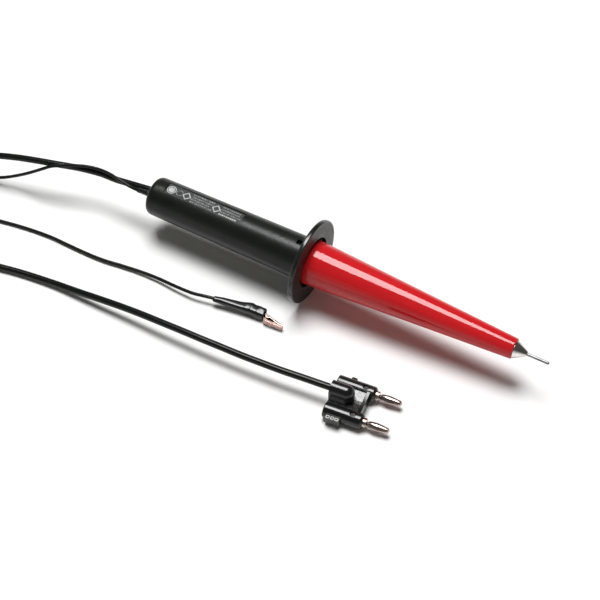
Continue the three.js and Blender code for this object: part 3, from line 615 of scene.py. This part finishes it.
def sleeve():
    """The short stiff sleeve on the ground lead, with two rings near its end."""
    line = spline([(-116, -3.1, 27.9), (-121, -3.1, 27.9), (-126, -3.1, 27.85), (-130, -3.2, 27.6),
                   (-133.5, -3.33, 27.19)], 0.7)
    rings = 24
    verts, faces = [], []
    for i, at in enumerate(line):
        t = i / (len(line) - 1)
        r = SLEEVE_R - 0.35 * eased(t, 0.55, 1.0) - 0.12 * (1 if i % 4 == 1 and t > 0.5 else 0)
        for radius in (r, SLEEVE_BORE_R):
            for k in range(rings):
                a = 2 * math.pi * k / rings
                verts.append((at.x, at.y + radius * math.cos(a), at.z + radius * math.sin(a)))
    count = len(line)
    for k in range(rings):
        n = (k + 1) % rings
        for i in range(count - 1):
            a, b = 2 * rings * i, 2 * rings * (i + 1)
            faces += [(a + k, a + n, b + n, b + k),
                      (a + rings + n, a + rings + k, b + rings + k, b + rings + n)]
        last = 2 * rings * (count - 1)
        faces += [(n, k, rings + k, rings + n),
                  (last + k, last + n, last + rings + n, last + rings + k)]
    show(mesh_object("lead_sleeve", verts, faces, BOOT), "probe", "black_pvc", "ground_sleeve")


def label():
    """The film in the recess, with plain marks printed on it: a disc, a ring, hollow diamonds and dashes."""
    top = LABEL_FLOOR + 0.35
    film = prism(box_outline(LABEL_X0 + 0.4, LABEL_X1 - 0.4, -4.0, 4.0, 0.5), LABEL_FLOOR + 0.05, top)
    show(mesh_object("label_film", *film, LABEL), "probe", "black_plastic", "label_plate")
    z0, z1 = top - 0.02, top + 0.03

    def diamond(x, r):
        return hoop([(x + r, 0), (x, r), (x - r, 0), (x, -r)],
                    [(x + 0.7 * r, 0), (x, 0.7 * r), (x - 0.7 * r, 0), (x, -0.7 * r)], z0, z1)

    bright = [
        hoop(circle(-111.7, 0, 2.85), circle(-111.7, 0, 2.35), z0, z1),
        prism(circle(-111.7, 0, 1.95), z0, z1),
        diamond(-101.6, 2.9),
        diamond(-81.9, 2.9),
    ]
    dull = [hoop(circle(-106.3, 0, 2.2), circle(-106.3, 0, 1.7), z0, z1)]
    for x0, x1, row_y, shapes in (
        (-98.6, -85, 2.9, dull), (-98.2, -85, 1.1, dull), (-98.6, -86, -0.7, dull),
        (-98.2, -84.5, -2.5, dull), (-79, -67, 2.9, dull), (-79, -68, 1.1, dull),
        (-79, -66.5, -0.7, dull), (-79, -68, -2.6, bright),
    ):
        x = x0
        k = 0
        while x < x1:
            long = 0.7 + 1.6 * abs(noise.noise(Vector((x, row_y, 3.7 * k))))
            tall = 0.42 + 0.25 * abs(noise.noise(Vector((row_y, x, 1.3))))
            shapes.append(prism(box_outline(x, x + long, row_y - tall, row_y + tall, 0.2, 2), z0, z1))
            x += long + 0.32
            k += 1
    show(mesh_object("label_marks", *merged(bright), INK), "probe", "white_plastic")
    show(mesh_object("label_dashes", *merged(dull), DULL_INK), "probe", "white_plastic")


handle()
sleeve()
label()

# ---------------------------------------------------------------- finger guard

GUARD_X, GUARD_BACK_X, GUARD_WEB_X = -19.0, -22.0, -21.2
GUARD_R, RECESS_R = 25.0, 15.2


def guard():
    disc = mesh_object("guard_disc", *turned([
        (-36, 8.95, 0.2), (GUARD_WEB_X, 8.95), (GUARD_WEB_X, RECESS_R, 0.2), (GUARD_X, RECESS_R, 0.25),
        (GUARD_X, GUARD_R, 1.0), (GUARD_BACK_X, GUARD_R, 1.0), (GUARD_BACK_X, 10.2), (-36, 10.2, 0.3),
    ], 144, closed=True), [GUARD_BLACK, SHADE_MATT, BOOT])
    latch = prism(box_outline(LATCH_X - 1.2, LATCH_X + 1.2, -1.1, 1.1, 0.3), AXIS_Z + 9.4, AXIS_Z + 10.7)
    combine(disc, [tool(latch)], "UNION")
    # Recess and hub faces, the latch block among them, get the darker black: painted shade in the recess and
    # the latch window.
    for face in disc.data.polygons:
        x, y, z = face.center / MM
        r = math.hypot(y, z - AXIS_Z)
        in_recess = GUARD_WEB_X - 0.1 < x < GUARD_X - 0.2 and r < RECESS_R + 0.1
        on_hub = x < GUARD_BACK_X - 1
        on_rim = r > GUARD_R - 0.8
        face.material_index = 1 if in_recess or on_hub else 2 if on_rim else 0
    show(disc, "probe", "black_plastic", "finger_guard")


guard()

# ---------------------------------------------------------------- nose and tip

NOSE_BASE_X, NOSE_END_X, TIP_X = -20.2, 104.5, 124.5
ROD_R = 0.85


def nose():
    barrel = turned([
        (-40, 7.0), (-40, 8.6, 0.4), (NOSE_BASE_X, 8.6), (NOSE_BASE_X, 13.17, 0.5),
        (NOSE_END_X - 0.5, 5.93, 0.6), (NOSE_END_X, 5.3, 0.3), (NOSE_END_X, 3.9), (96, 3.9), (96, 4.6),
        (-17.2, 10.4), (-19.2, 7.0),
    ], 128, closed=True)
    show(mesh_object("nose_shell", *barrel, RED), "probe", "red_plastic", "nose_barrel")


def tip():
    cone = turned([
        (96.5, 0), (96.5, 3.6), (104.8, 3.6), (104.8, 5.25), (111.3, 1.65, 0.2),
        (111.6, 1.5, 0.1), (111.6, 1.15), (100, 1.15), (100, 0),
    ], 96)
    show(mesh_object("tip_ferrule", *cone, TURNED, smooth=25), "probe", "nickel", "tip_cone")
    r = ROD_R
    rod = [(100.3, 0), (100.3, r), (TIP_X - r, r)]
    rod += [(TIP_X - r + r * math.sin(a), r * math.cos(a)) for a in (0.4, 0.8, 1.2)]
    rod.append((TIP_X, 0))
    show(mesh_object("tip_pin", *turned(rod, 48), DARK_STEEL), "probe", "steel", "tip_rod")


nose()
tip()

# ---------------------------------------------------------------- dual banana plug

PLUG_PLACE = Matrix.Translation((48.55, -59.65, 0)) @ Matrix.Rotation(math.radians(6.2), 4, "Z")
HALF_PITCH = 9.525
HORN_R, HORN_L, HORN_Z = 4.43, 22.3, 4.53
WEB_LOW, WEB_SLOPE, WEB_FLAT, WEB_HALF = 6.4, 0.27, 1.4, 7.4  # the valley between the horns
RIB_TOP = 8.4
BOSS_R, BOSS_Z, BOSS_X1 = 4.5, 11.9, -9.0
SCREW_X = -6.0


def boss():
    """The raised housing of the cable: an upright rounded block whose front end and top are round."""
    around = 40
    verts, faces = [], []
    x_round = BOSS_X1 - BOSS_R
    columns = [(-HORN_L, 1.0), (-HORN_L + 0.5, 1.0)] + [
        (x_round + BOSS_R * math.sin(a), math.cos(a)) for a in [math.radians(6 * k) for k in range(15)]
    ]
    for x, wide in columns:
        for k in range(around // 2 + 1):
            a = math.pi * k / (around // 2)
            verts.append((x, BOSS_R * wide * math.cos(a), BOSS_Z + BOSS_R * wide * math.sin(a)))
        verts.append((x, -BOSS_R * wide, 2.0))
        verts.append((x, BOSS_R * wide, 2.0))
    n = around // 2 + 3
    for i in range(len(columns) - 1):
        for k in range(n):
            m = (k + 1) % n
            faces.append((n * i + k, n * i + m, n * (i + 1) + m, n * (i + 1) + k))
    faces.append(list(range(n))[::-1])
    faces.append([n * (len(columns) - 1) + k for k in range(n)])
    return verts, faces


def web():
    """The wall between the horns: a valley that rises into both of them."""
    across = [-HALF_PITCH + 0.5 * k for k in range(39)]
    top = [(y, WEB_LOW + WEB_SLOPE * max(0.0, min(abs(y), WEB_HALF) - WEB_FLAT)) for y in across]
    return bar([(-HALF_PITCH, 0.9), *top, (HALF_PITCH, 0.9)][::-1], -HORN_L + 0.3, -3.2)


def grip_marks():
    """Raised outlines on the near tab: three plain loops that a finger can feel."""
    loops = []
    for x0, x1 in ((-19.2, -17.0), (-16.6, -14.6), (-14.2, -12.0)):
        outer = box_outline(x0, x1, -16.2, -14.4, 0.5)
        inner = box_outline(x0 + 0.5, x1 - 0.5, -15.7, -14.9, 0.2)
        loops.append(hoop(outer, inner, 7.0, 7.5))
    return merged(loops)


def plug():
    def horn(y):
        return turned([
            (-HORN_L, 0), (-HORN_L, HORN_R, 0.7), (-1.2, HORN_R, 0.5), (0, HORN_R - 0.9, 0.4), (0, 0),
        ], 64, y, HORN_Z)

    def slab(x0, x1, y0, y1, z0, z1, r, edge):
        return bevelled(tool(prism(box_outline(x0, x1, y0, y1, r), z0, z1), PLUG_PLACE), edge)

    body = mesh_object("plug_moulding", *horn(HALF_PITCH), [GLOSS, WEB_GRAIN_SHEEN], PLUG_PLACE)
    parts = [
        tool(horn(-HALF_PITCH), PLUG_PLACE),
        tool(web(), PLUG_PLACE),
        slab(-4.5, -2.6, -HALF_PITCH, HALF_PITCH, 0.95, RIB_TOP, 0.3, 0.75),
        tool(boss(), PLUG_PLACE),
        slab(-19.8, -11.3, -HALF_PITCH - HORN_R - 1.9, -HALF_PITCH, 1.6, 7.2, 0.8, 0.3),
        slab(-15.8, -12.5, HALF_PITCH, HALF_PITCH + HORN_R + 0.7, 2.5, 6.9, 0.8, 0.4),
    ]
    combine(body, parts, "UNION")
    holes = [tool(turned([(-23.5, 0), (-23.5, 2.8), (1, 2.8), (1, 0)], 40, y, HORN_Z), PLUG_PLACE)
             for y in (HALF_PITCH, -HALF_PITCH)]
    holes += [tool(prism(circle(SCREW_X, y, 1.85, 28), HORN_Z, 12), PLUG_PLACE)
              for y in (HALF_PITCH, -HALF_PITCH)]
    holes.append(tool(turned([(-24, 0), (-24, 2.3), (-16, 2.3), (-16, 0)], 32, 0, BOSS_Z), PLUG_PLACE))
    combine(body, holes, "DIFFERENCE")
    to_plug = PLUG_PLACE.inverted()
    # Upward faces of the web get the lighter grained material: real texture, with painted sheen.
    for face in body.data.polygons:
        x, y, z = to_plug @ (face.center / MM)
        on_web = x < -4.4 and abs(y) < WEB_HALF and z < WEB_LOW + 2 and face.normal.z > 0.9
        face.material_index = 1 if on_web else 0
    show(body, "probe", "black_gloss", "plug_body")
    # The loops are pale grey: painted highlight on the raised marks.
    loops = mesh_object("tab_marks", *grip_marks(), HIGHLIGHT_VINYL, PLUG_PLACE)
    show(loops, "probe", "black_gloss")


LEAF_PROFILE = [
    (2.9, 1.6), (3.4, 1.78), (4.5, 2.04), (6.0, 2.24), (7.5, 2.32), (9.0, 2.24), (10.5, 2.06), (12.0, 1.86),
    (13.0, 1.76),
]
LEAF_THICK = 0.28


def leaf(y, number):
    """One bowed leaf of a pin's cage, narrower where it stands out furthest."""
    across = 8
    row = across + 1
    middle = math.radians(24 + 90 * number)
    verts, faces = [], []
    for x, r in LEAF_PROFILE:
        t = (x - 7.6) / 5.4
        half = math.radians(40 - 7 * (1 - t * t))
        for radius in (r, r - LEAF_THICK):
            for k in range(row):
                a = middle - half + 2 * half * k / across
                verts.append((x, y + radius * math.cos(a), HORN_Z + radius * math.sin(a)))
    for i in range(len(LEAF_PROFILE) - 1):
        a, b = 2 * row * i, 2 * row * (i + 1)
        for k in range(across):
            faces += [(a + k, a + k + 1, b + k + 1, b + k),
                      (a + row + k + 1, a + row + k, b + row + k, b + row + k + 1)]
        faces += [(a, b, b + row, a + row),
                  (a + across, a + row + across, b + row + across, b + across)]
    end = 2 * row * (len(LEAF_PROFILE) - 1)
    for k in range(across):
        faces += [(k + 1, k, row + k, row + k + 1),
                  (end + k, end + k + 1, end + row + k + 1, end + row + k)]
    return verts, faces


def pin(number, y):
    """A banana pin: its collar and core, and a cage of four bowed leaves round it."""
    core = turned([
        (-15, 2.1), (-15, 2.5), (0.1, 2.5), (0.1, 2.7, 0.15), (1.9, 2.7, 0.3), (2.1, 2.2, 0.1), (2.1, 1.1),
        (13.2, 1.0), (13.2, 1.8, 0.1), (14.3, 1.55, 0.5), (15, 0.5, 0.3),
        (15, 0), (-8, 0), (-8, 2.1), (-15, 2.1),
    ], 48, y, HORN_Z)
    body = mesh_object(f"plug_pin_{number}", *core, [PINK_NICKEL, OXIDE_AND_SHADE], PLUG_PLACE)
    to_plug = PLUG_PLACE.inverted()
    # Core faces inside the cage get the black: painted shade in the slots between the leaves.
    for face in body.data.polygons:
        x, fy, fz = to_plug @ (face.center / MM)
        inside = 2.05 < x < 13.25 and math.hypot(fy - y, fz - HORN_Z) < 1.3
        face.material_index = 1 if inside else 0
    show(body, "probe", "nickel", f"banana_pin_{number}")
    cage = merged(leaf(y, k) for k in range(4))
    leaves = mesh_object(f"pin_leaves_{number}", *cage, PINK_NICKEL, PLUG_PLACE)
    show(leaves, "probe", "nickel", f"banana_spring_{number}")


def plug_screw(number, y):
    shank = prism(circle(SCREW_X, y, 1.5, 32), HORN_Z + 2.8, HORN_Z + HORN_R - 0.9)
    body = mesh_object(f"plug_screw_{number}", *shank, OXIDE_AND_SHADE, PLUG_PLACE)
    bevelled(body, 0.15, 2)
    slot = prism(box_outline(SCREW_X - 0.25, SCREW_X + 0.25, y - 2, y + 2), HORN_Z + HORN_R - 1.35, 12)
    show(combine(body, [tool(slot, PLUG_PLACE)], "DIFFERENCE"), "probe", "steel", f"set_screw_{number}")


plug()
pin(1, HALF_PITCH)
pin(2, -HALF_PITCH)
plug_screw(1, HALF_PITCH)
plug_screw(2, -HALF_PITCH)

# ---------------------------------------------------------------- alligator clip

CLIP_PLACE = (Matrix.Translation((-63.6, -35.6, 2)) @ Matrix.Rotation(math.radians(6), 4, "Z")
              @ Matrix.Rotation(math.radians(3.8), 4, "Y"))
CLIP_Z, CLIP_L = 3.1, 43.7
PIVOT = (27.5, 1.4)
PIVOT_HOLE = 0.85
JAW_HALF, JAW_WALL = 1.5, 0.45
# The boot's sections: X, the middle's Y, and half the width.
BOOT_SECTIONS = [
    (0, -0.55, 1.7), (0.3, -0.52, 1.88), (1.5, -0.42, 1.95), (5, 0.05, 2.26), (10, 0.48, 2.44),
    (15, 0.92, 2.7), (17.5, 1.25, 2.95), (19.5, 1.6, 3.25), (21, 1.83, 3.42), (22.2, 1.87, 3.45),
    (23.2, 1.82, 3.36),
    (24.2, 1.75, 3.36), (25.2, 1.7, 3.48), (26.5, 1.7, 3.52), (28, 1.69, 3.48), (29.6, 1.66, 3.42),
    (30.4, 1.65, 3.3), (30.6, 1.65, 3.1),
    (30.6, 1.65, 2.95), (26, 1.7, 2.95), (21, 1.6, 2.95), (17, 1.2, 2.45), (9, 0.4, 1.9), (5, 0.05, 1.65),
    (4, -0.05, 1.2), (0, -0.5, 1.2),
]
BOOT_OUTSIDE = 18  # how many of them are on the outside
BOOT_STEPS = 4
BOOT_FLAT = 0.84
BOOT_ROLL = math.radians(2)  # the flat sides lean this much
CREASE_REAR, CREASE_FRONT = 0.05, 0.21  # how deep the vinyl's creases are
CREASE_PITCH, CREASE_START = 0.42, 11


def fine_sections():
    """The boot's sections, with BOOT_STEPS - 1 more between each two of them on the outside."""
    fine = []
    for i, (a, b) in enumerate(zip(BOOT_SECTIONS, BOOT_SECTIONS[1:])):
        steps = BOOT_STEPS if i < BOOT_OUTSIDE - 1 else 1
        for k in range(steps):
            t = k / steps
            fine.append(tuple(p + (q - p) * t for p, q in zip(a, b)))
    fine.append(BOOT_SECTIONS[-1])
    return fine


def boot():
    """The soft vinyl boot: narrow at the rear, swelling to a shoulder, with creases and a thick mouth."""
    around = 72
    outside = (BOOT_OUTSIDE - 1) * BOOT_STEPS + 1
    verts, faces = [], []
    for i, (x, middle, wide) in enumerate(fine_sections()):
        flat = eased(x, 2, 17)
        for k in range(around):
            a = 2 * math.pi * k / around
            c, up = math.cos(a), math.sin(a)
            power = 2.0 + 0.9 * flat
            grow = (abs(c) ** power + abs(up) ** power) ** (-1 / power)
            depth = CREASE_REAR + (CREASE_FRONT - CREASE_REAR) * eased(x, 17, 23)
            crease = noise.noise(Vector((x * CREASE_PITCH + CREASE_START, 1.1 * c, 1.1 * up))) * depth * flat
            r = wide + (crease if i < outside else 0)
            u, v = r * grow * c, r * grow * up * BOOT_FLAT
            roll = BOOT_ROLL * flat
            across = u * math.cos(roll) - v * math.sin(roll)
            height = u * math.sin(roll) + v * math.cos(roll)
            verts.append((x, middle + across, CLIP_Z + max(height, 0.02 - CLIP_Z)))
    rows = len(verts) // around
    for i in range(rows):
        j = (i + 1) % rows
        for k in range(around):
            n = (k + 1) % around
            faces.append((around * i + k, around * i + n, around * j + n, around * j + k))
    show(mesh_object("clip_sleeve", verts, faces, BOOT, CLIP_PLACE, 60), "probe", "black_pvc", "clip_boot")


def teeth(side):
    """The zigzag edge where the jaws meet, a hair to one side of the middle for each jaw."""
    points = []
    x0, x1, y0, y1, count = 37.8, 43.0, -1.45, -2.65, 6
    for i in range(2 * count + 1):
        t = i / (2 * count)
        out = 0 if i % 2 == 0 else 0.22
        points.append((x0 + (x1 - x0) * t, y0 + (y1 - y0) * t + side * 0.03 + out))
    return points


def jaw_piece(name, material, solid, hollow, half, wall, extra=(), holes=()):
    """One pressed-sheet jaw: a rounded outline, hollow on the side where it meets the other."""
    body = mesh_object(name, *prism(solid, CLIP_Z - half, CLIP_Z + half), material, CLIP_PLACE)
    bevelled(body, 0.3, 3, angle=60)
    cutter = tool(prism(hollow, CLIP_Z - half + wall, CLIP_Z + half - wall), CLIP_PLACE)
    combine(body, [cutter], "DIFFERENCE")
    combine(body, [tool(e, CLIP_PLACE) for e in extra], "UNION")
    return combine(body, [tool(h, CLIP_PLACE) for h in holes], "DIFFERENCE")


def jaws():
    pivot = prism(circle(*PIVOT, PIVOT_HOLE, 24), CLIP_Z - 3, CLIP_Z + 3)
    solid = [
        (16.8, 0.1), (21, -0.65), (30, -0.5), (30.85, -0.6), (31.3, -2.4), (32.4, -3.2), (38, -3.45),
        (42.6, -3.5), (CLIP_L, -3.2), *reversed(teeth(-1)), (36.4, -1.95), (34.6, -1.85), (33.2, -1.25),
        (32.4, -0.95), (31.4, -0.9), (30.6, 0.3), (29.5, 2), (28.4, 2.9), (26.6, 2.9), (25.4, 2),
        (23, 0.9), (16.8, 0.7),
    ]
    hollow = [
        (18.5, 0.3), (21, -0.2), (30, -0.05), (30.8, -0.15), (31.5, -1.9), (32.6, -2.7), (41.9, -3),
        (41.9, 3), (18.5, 3),
    ]
    barrel = turned([(5.6, 0), (5.6, 1.1, 0.2), (17.2, 1.1, 0.2), (17.2, 0)], 24, 0.6, CLIP_Z)
    # The fixed jaw has the darker copy of the nickel: painted shade on its side.
    fixed = jaw_piece("jaw_lower", SHADED_NICKEL, solid, hollow, JAW_HALF, JAW_WALL, [barrel], [pivot])
    show(fixed, "probe", "nickel", "clip_fixed_jaw")
    nest = JAW_HALF - JAW_WALL - 0.35
    rear = [
        (20.5, 2.75), (24, 2.3), (25.4, 0.9), (26.7, 0.3), (28.3, 0.3), (29.4, 0.7), (30.4, 1.5), (31.6, 1.6),
        (31.4, 2.2), (29, 3.25), (20.5, 3.2),
    ]
    rear_hollow = [
        (18, 2.2), (23.5, 2.2), (25, 0.4), (26, -1), (29.5, -1), (30.6, 2), (29, 2.8), (18, 2.8),
    ]
    front = [
        *teeth(1), (CLIP_L, -2.45), (CLIP_L - 0.4, -1.85), (42.4, -1.3), (39.7, -0.45), (35.7, 0.85),
        (32.5, 1.85), (31, 2.3), (31, 1.2), (31.7, -0.6), (32.6, -0.7), (33.2, -0.5), (34.4, -0.05),
        (35.8, -0.25), (37.1, -0.95),
    ]
    front_hollow = [
        (31.5, -3), (42.2, -3), (42.2, -1.95), (39.5, -1), (35.6, 0.35), (32.3, 1.4), (31.5, 1.5),
    ]
    moving = jaw_piece("jaw_upper", PINK_NICKEL, front, front_hollow, JAW_HALF, JAW_WALL)
    back = jaw_piece("back", PINK_NICKEL, rear, rear_hollow, nest, 0.25)
    combine(moving, [back], "UNION")
    combine(moving, [tool(pivot, CLIP_PLACE)], "DIFFERENCE")
    show(moving, "clip_jaw", "nickel", "clip_moving_jaw")


boot()
jaws()

# ---------------------------------------------------------------- CAD nodes that stay, and their materials

KEPT = {
    "nose_lock_ring": BLACK, "cable_anchor": BLACK, "shield_tube": STEEL, "front_board_holder": WHITE,
    "rear_board_holder": WHITE, "divider_board": BOARD, "low_side_resistor": CERAMIC,
    "feedback_resistor": CERAMIC, "bypass_capacitor": COAT, "trimmer_body": WHITE, "trimmer_rotor": BRASS,
    "ground_terminal": BRASS, "ground_screw": STEEL, "hv_resistor": CERAMIC, "resistor_cap_front": BRASS,
    "resistor_cap_rear": BRASS, "nose_spacer_front": WHITE, "nose_spacer_rear": WHITE,
    "front_contact_spring": STEEL, "rear_contact_spring": STEEL, "contact_stud": BRASS,
    "clip_pivot_pin": STEEL, "clip_spring": STEEL,
}
for node_name, material in KEPT.items():
    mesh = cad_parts[node_name].data
    mesh.materials.clear()
    mesh.materials.append(material)

# ---------------------------------------------------------------- floor and light

KEY_TILT = math.radians(13)
KEY_SIDE = math.radians(12)
KEY_DISTANCE = 2.5
KEY_SIZE = 1.2
KEY_POWER = 79.0
FILL_TINT = (1.0, 0.985, 0.9, 1)
LOW_SKY, HIGH_SKY = 0.48, 0.07  # brightness of the surroundings near the floor and overhead


def floor():
    s = Shader("floor_white")
    s.colour(s.ramp(s.noise(3.0), (0.86, 0.86, 0.86), (0.88, 0.88, 0.88)))
    s.rough(s.ramp(s.noise(40.0), 0.85, 0.95))
    s.bsdf.inputs["Specular IOR Level"].default_value = 0.1
    side = 6000
    made = mesh_object("floor", [(-side, -side, 0), (side, -side, 0), (side, side, 0), (-side, side, 0)],
                       [(0, 1, 2, 3)], s.material)
    made.location.z = -0.0001


def key_light():
    """One large soft box above, leaning a little to the back and the left as the camera sees it."""
    back = Vector((-math.sin(AZIMUTH), math.cos(AZIMUTH), 0))
    left = Vector((-math.cos(AZIMUTH), -math.sin(AZIMUTH), 0))
    lean = back * math.cos(KEY_SIDE) + left * math.sin(KEY_SIDE)
    to_light = Vector((0, 0, 1)) * math.cos(KEY_TILT) + lean * math.sin(KEY_TILT)
    data = bpy.data.lights.new("key", "AREA")
    data.shape = "SQUARE"
    data.size = KEY_SIZE
    data.energy = KEY_POWER
    light = bpy.data.objects.new("key", data)
    light.location = LOOK_AT + to_light * KEY_DISTANCE
    light.rotation_euler = to_light.to_track_quat("Z", "Y").to_euler()
    bpy.context.scene.collection.objects.link(light)


def surroundings():
    """A bright band low down all round, dim above it, and white where the camera sees past the floor."""
    world = bpy.data.worlds.new("studio")
    world.use_nodes = True
    nodes, links = world.node_tree.nodes, world.node_tree.links
    dim = nodes["Background"]
    dim.inputs["Color"].default_value = FILL_TINT
    split = nodes.new("ShaderNodeSeparateXYZ")
    links.new(nodes.new("ShaderNodeTexCoord").outputs["Generated"], split.inputs[0])
    band = nodes.new("ShaderNodeMapRange")
    band.interpolation_type = "SMOOTHSTEP"
    band.inputs["From Min"].default_value = 0.12
    band.inputs["From Max"].default_value = 0.42
    band.inputs["To Min"].default_value = LOW_SKY
    band.inputs["To Max"].default_value = HIGH_SKY
    links.new(split.outputs["Z"], band.inputs["Value"])
    links.new(band.outputs["Result"], dim.inputs["Strength"])
    white = nodes.new("ShaderNodeBackground")
    white.inputs["Strength"].default_value = 1.0
    rays = nodes.new("ShaderNodeLightPath")
    mix = nodes.new("ShaderNodeMixShader")
    links.new(rays.outputs["Is Camera Ray"], mix.inputs[0])
    links.new(dim.outputs[0], mix.inputs[1])
    links.new(white.outputs[0], mix.inputs[2])
    links.new(mix.outputs[0], nodes["World Output"].inputs["Surface"])
    bpy.context.scene.world = world


floor()
key_light()
surroundings()
bpy.context.scene.view_settings.view_transform = "Standard"
